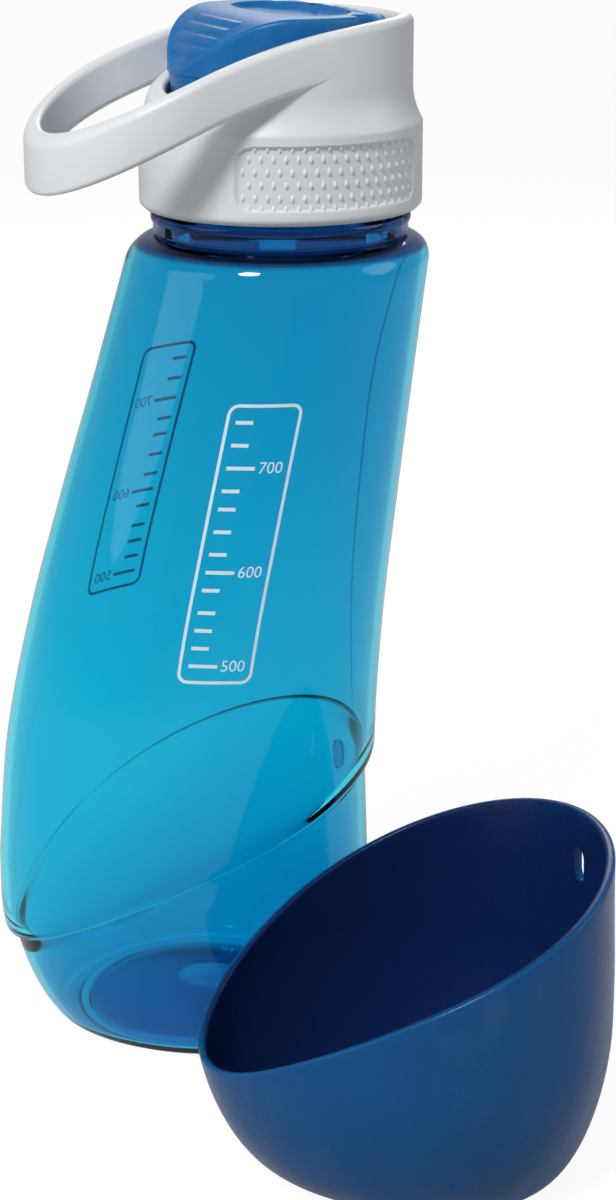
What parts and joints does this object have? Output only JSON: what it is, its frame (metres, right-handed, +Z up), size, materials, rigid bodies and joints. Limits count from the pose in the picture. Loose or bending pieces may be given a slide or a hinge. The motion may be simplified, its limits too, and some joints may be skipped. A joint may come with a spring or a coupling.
{
  "type": "dog travel water bottle",
  "caption": "Leaning water bottle for dog walks with a screw cap, a carry loop, a flip-up top over the pour port, and a drinking bowl that snaps over its foot.",
  "frame": {"origin": "centre of the bottle's foot ring, on the ground", "axes": "+Z up; +X the way the bottle leans, towards its neck; +Y away from the bowl, which stands on the -Y side"},
  "size_m": [0.1218, 0.1742, 0.239],
  "materials": {
    "bottle": "clear tinted plastic, glossy",
    "bowl": "opaque moulded plastic, glossy",
    "cap_shell": "satin moulded plastic",
    "cap_core": "satin moulded plastic",
    "gasket": "soft moulded silicone",
    "flip_top": "satin moulded plastic",
    "seal": "soft moulded silicone"
  },
  "bodies": {
    "bottle": {"bottle_body": "bottle"},
    "bowl": {"bowl": "bowl"},
    "gasket": {"cap_gasket": "gasket"},
    "cap": {"cap_shell": "cap_shell", "cap_core": "cap_core", "vent_valve": "seal"},
    "flip": {"flip_top": "flip_top", "port_seal": "seal"}
  },
  "joints": [
    {"name": "cap_rise", "type": "slide", "parent": "bottle", "child": "gasket", "axis": [0, 0, 1], "range_m": [0, 0.0061]},
    {"name": "cap_turn", "type": "hinge", "parent": "gasket", "child": "cap", "pos_m": [0.0208, 0, 0.2], "axis": [0, 0, 1], "range_deg": [0, 540]},
    {"name": "flip_hinge", "type": "hinge", "parent": "cap", "child": "flip", "pos_m": [0.0387, 0.0038, 0.2338], "axis": [-0.2079, 0.9781, 0], "range_deg": [0, 90]},
    {"name": "bowl_slide", "type": "slide", "parent": "bottle", "child": "bowl", "axis": [0.3518, -0.9361, 0], "range_m": [0, 0.06]}
  ],
  "couplings": [
    {"joint": "cap_rise", "follows": "cap_turn", "m_per_rad": 0.00063662}
  ]
}
